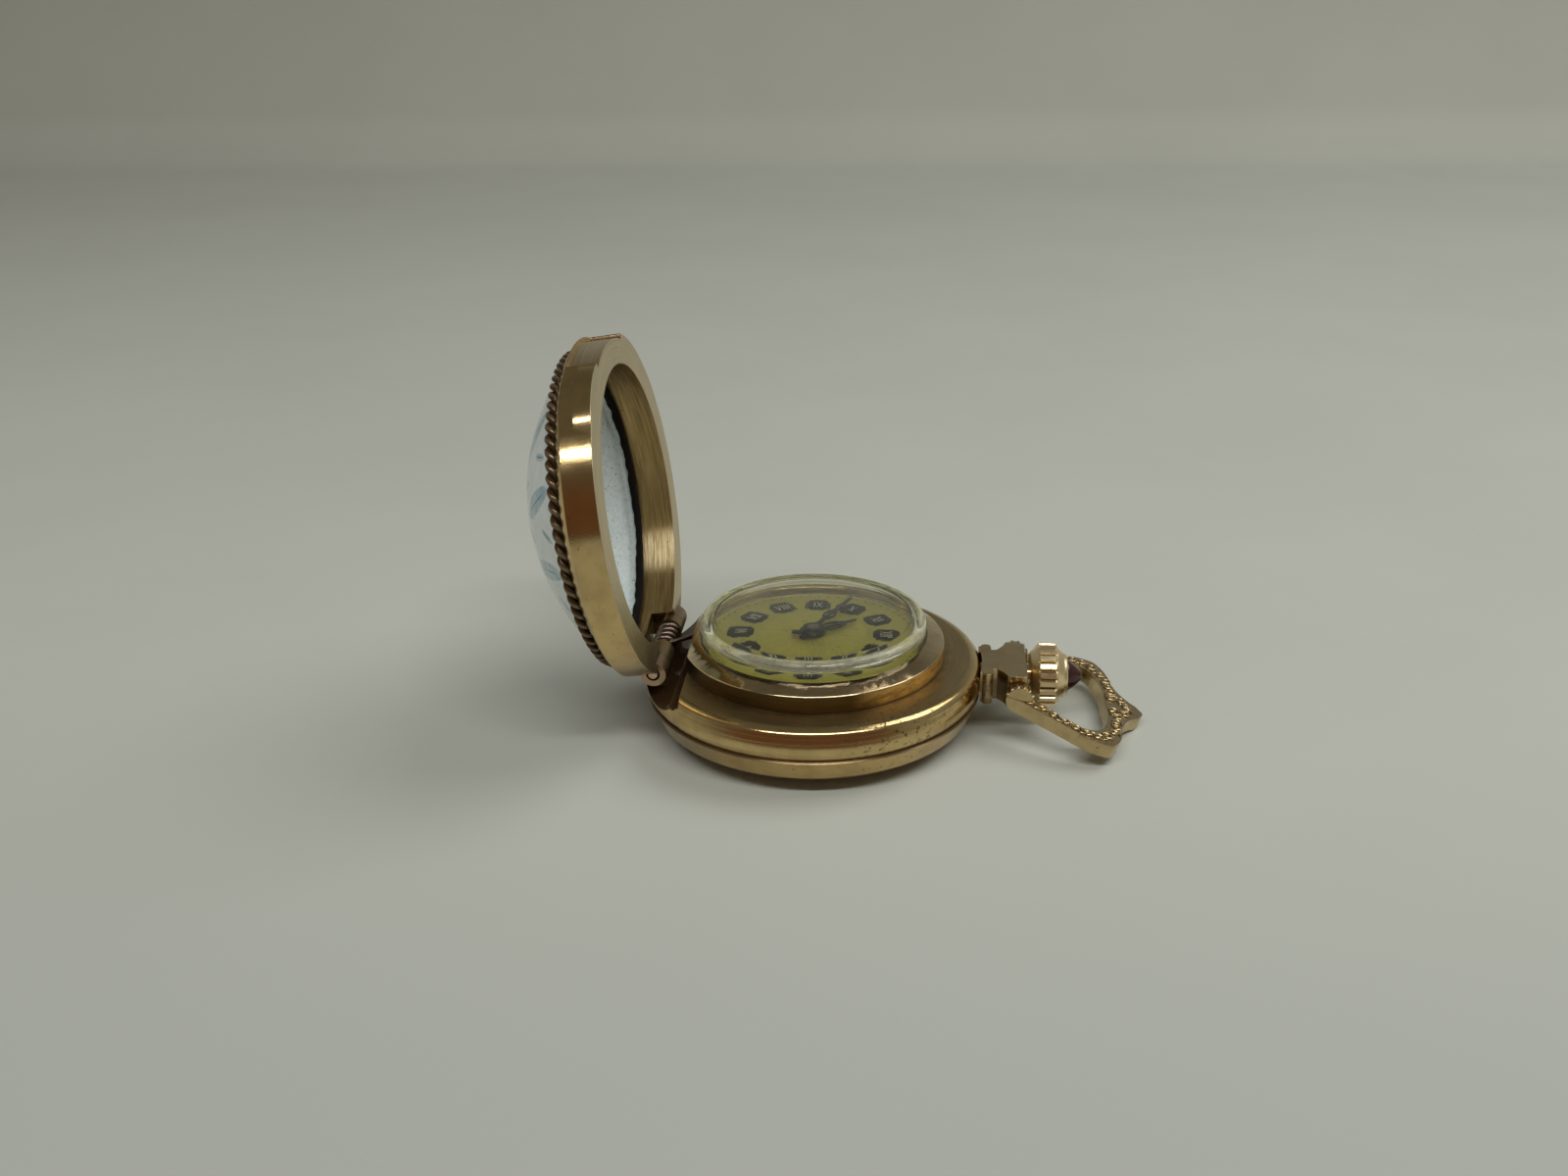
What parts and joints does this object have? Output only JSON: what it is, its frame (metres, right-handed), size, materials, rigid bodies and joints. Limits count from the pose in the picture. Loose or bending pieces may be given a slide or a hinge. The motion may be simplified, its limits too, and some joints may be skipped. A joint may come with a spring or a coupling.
{
  "type": "pendant watch",
  "caption": "Round pendant watch with a sprung enamel lid, a domed crystal over the dial, a fluted winding crown and a swinging bow for a chain.",
  "frame": {"origin": "axis of the round case, on the flat middle of the back cover that the watch lies on", "axes": "+Z out of the dial, +X towards twelve o'clock, through the pendant, crown and bow, -X towards the lid's hinge"},
  "size_m": [0.05, 0.028, 0.0323],
  "materials": {
    "gold_polished": "polished gold plate",
    "gold_satin": "satin gold plate",
    "gold_bright": "bright gold plate",
    "crystal": "clear",
    "dial": "satin sunray",
    "plaque": "black enamel",
    "enamel": "glossy enamel",
    "cement": "matt",
    "black_hand": "black",
    "cabochon": "dark polished stone",
    "steel": "polished steel",
    "brass_plate": "gilt",
    "nickel": "nickel plate",
    "ruby": "polished",
    "blue_steel": "blued"
  },
  "bodies": {
    "case": {"case_band": "gold_polished", "back_cover": "gold_polished", "bezel": "gold_satin", "crystal": "crystal", "dial": "dial", "hour_plaques": "plaque", "casing_ring": "brass_plate", "pendant": "gold_satin", "stem_sleeve": "gold_bright", "main_plate": "nickel", "barrel_bridge": "nickel", "train_bridge": "nickel", "balance_cock": "nickel", "pallet_bridge": "nickel", "bridge_screws": "steel", "bridge_jewels": "ruby", "plate_jewels": "ruby", "crown_wheel_cap": "steel", "hairspring": "blue_steel", "lid_spring": "steel"},
    "lid": {"lid_ring": "gold_satin", "lid_rope_border": "gold_bright", "lid_enamel": "enamel", "lid_cement": "cement", "hinge_pin": "gold_bright"},
    "bow": {"bow": "gold_bright"},
    "winder": {"winding_pinion": "steel", "sliding_pinion": "steel"},
    "crown_and_stem": {"crown": "gold_bright", "crown_cabochon": "cabochon", "winding_stem": "steel"},
    "crown_wheel": {"crown_wheel": "steel"},
    "ratchet": {"ratchet_wheel": "steel", "barrel_arbor": "steel"},
    "barrel": {"barrel_drum": "brass_plate", "barrel_cover": "brass_plate", "mainspring": "steel"},
    "centre": {"centre_wheel": "brass_plate"},
    "third": {"third_wheel": "brass_plate"},
    "fourth": {"fourth_wheel": "brass_plate"},
    "escape": {"escape_wheel": "steel"},
    "lever": {"pallet_fork": "steel"},
    "balance": {"balance_wheel": "brass_plate", "roller_table": "steel"},
    "minute_hand": {"cannon_pinion": "steel", "minute_hand": "black_hand"},
    "minute_wheel": {"minute_wheel": "brass_plate"},
    "hour_hand": {"hour_wheel": "brass_plate", "hour_hand": "black_hand"}
  },
  "joints": [
    {"name": "lid_hinge", "type": "hinge", "parent": "case", "child": "lid", "pos_m": [-0.01255, 0, 0.00653], "axis": [0, 1, 0], "range_deg": [0, 98], "stiffness_Nm_per_rad": 0.004, "springref_deg": -17.19},
    {"name": "bow_swing", "type": "hinge", "parent": "case", "child": "bow", "pos_m": [0.0169, 0, 0.00435], "axis": [0, 1, 0], "range_deg": [-117, 82]},
    {"name": "crown_turn", "type": "hinge", "parent": "case", "child": "winder", "pos_m": [0.0066, 0, 0.00455], "axis": [1, 0, 0], "continuous": true},
    {"name": "crown_pull", "type": "slide", "parent": "winder", "child": "crown_and_stem", "axis": [1, 0, 0], "range_m": [0, 0.0008]},
    {"name": "crown_wheel_spin", "type": "hinge", "parent": "case", "child": "crown_wheel", "pos_m": [0.0052, 0, 0.0024], "axis": [0, 0, 1], "continuous": true},
    {"name": "ratchet_spin", "type": "hinge", "parent": "case", "child": "ratchet", "pos_m": [0.00179, 0.00311, 0.0024], "axis": [0, 0, 1], "continuous": true},
    {"name": "fourth_spin", "type": "hinge", "parent": "case", "child": "fourth", "pos_m": [-0.00096, -0.00309, 0.004], "axis": [0, 0, 1], "continuous": true},
    {"name": "third_spin", "type": "hinge", "parent": "case", "child": "third", "pos_m": [-0.00273, -0.00099, 0.004], "axis": [0, 0, 1], "continuous": true},
    {"name": "centre_spin", "type": "hinge", "parent": "case", "child": "centre", "pos_m": [0, 0, 0.004], "axis": [0, 0, 1], "continuous": true},
    {"name": "barrel_spin", "type": "hinge", "parent": "case", "child": "barrel", "pos_m": [0.00179, 0.00311, 0.004], "axis": [0, 0, 1], "continuous": true},
    {"name": "escape_spin", "type": "hinge", "parent": "case", "child": "escape", "pos_m": [-0.00176, -0.00528, 0.004], "axis": [0, 0, 1], "continuous": true},
    {"name": "lever_swing", "type": "hinge", "parent": "case", "child": "lever", "pos_m": [-0.00013, -0.00511, 0.004], "axis": [0, 0, 1], "range_deg": [-5, 5]},
    {"name": "balance_swing", "type": "hinge", "parent": "case", "child": "balance", "pos_m": [0.00198, -0.00489, 0.004], "axis": [0, 0, 1], "range_deg": [-270, 270]},
    {"name": "minute_hand_turn", "type": "hinge", "parent": "case", "child": "minute_hand", "pos_m": [0, 0, 0.007], "axis": [0, 0, 1], "continuous": true},
    {"name": "minute_wheel_spin", "type": "hinge", "parent": "case", "child": "minute_wheel", "pos_m": [0.00187, -0.00087, 0.0065], "axis": [0, 0, 1], "continuous": true},
    {"name": "hour_hand_turn", "type": "hinge", "parent": "case", "child": "hour_hand", "pos_m": [0, 0, 0.007], "axis": [0, 0, 1], "continuous": true}
  ],
  "couplings": [
    {"joint": "crown_wheel_spin", "follows": "crown_turn", "ratio": 1.0556},
    {"joint": "ratchet_spin", "follows": "crown_turn", "ratio": -0.75397},
    {"joint": "third_spin", "follows": "fourth_spin", "ratio": -0.13333},
    {"joint": "centre_spin", "follows": "fourth_spin", "ratio": 0.016667},
    {"joint": "barrel_spin", "follows": "fourth_spin", "ratio": -0.0027778},
    {"joint": "escape_spin", "follows": "fourth_spin", "ratio": -10},
    {"joint": "minute_wheel_spin", "follows": "minute_hand_turn", "ratio": -0.33333},
    {"joint": "hour_hand_turn", "follows": "minute_hand_turn", "ratio": 0.083333}
  ]
}
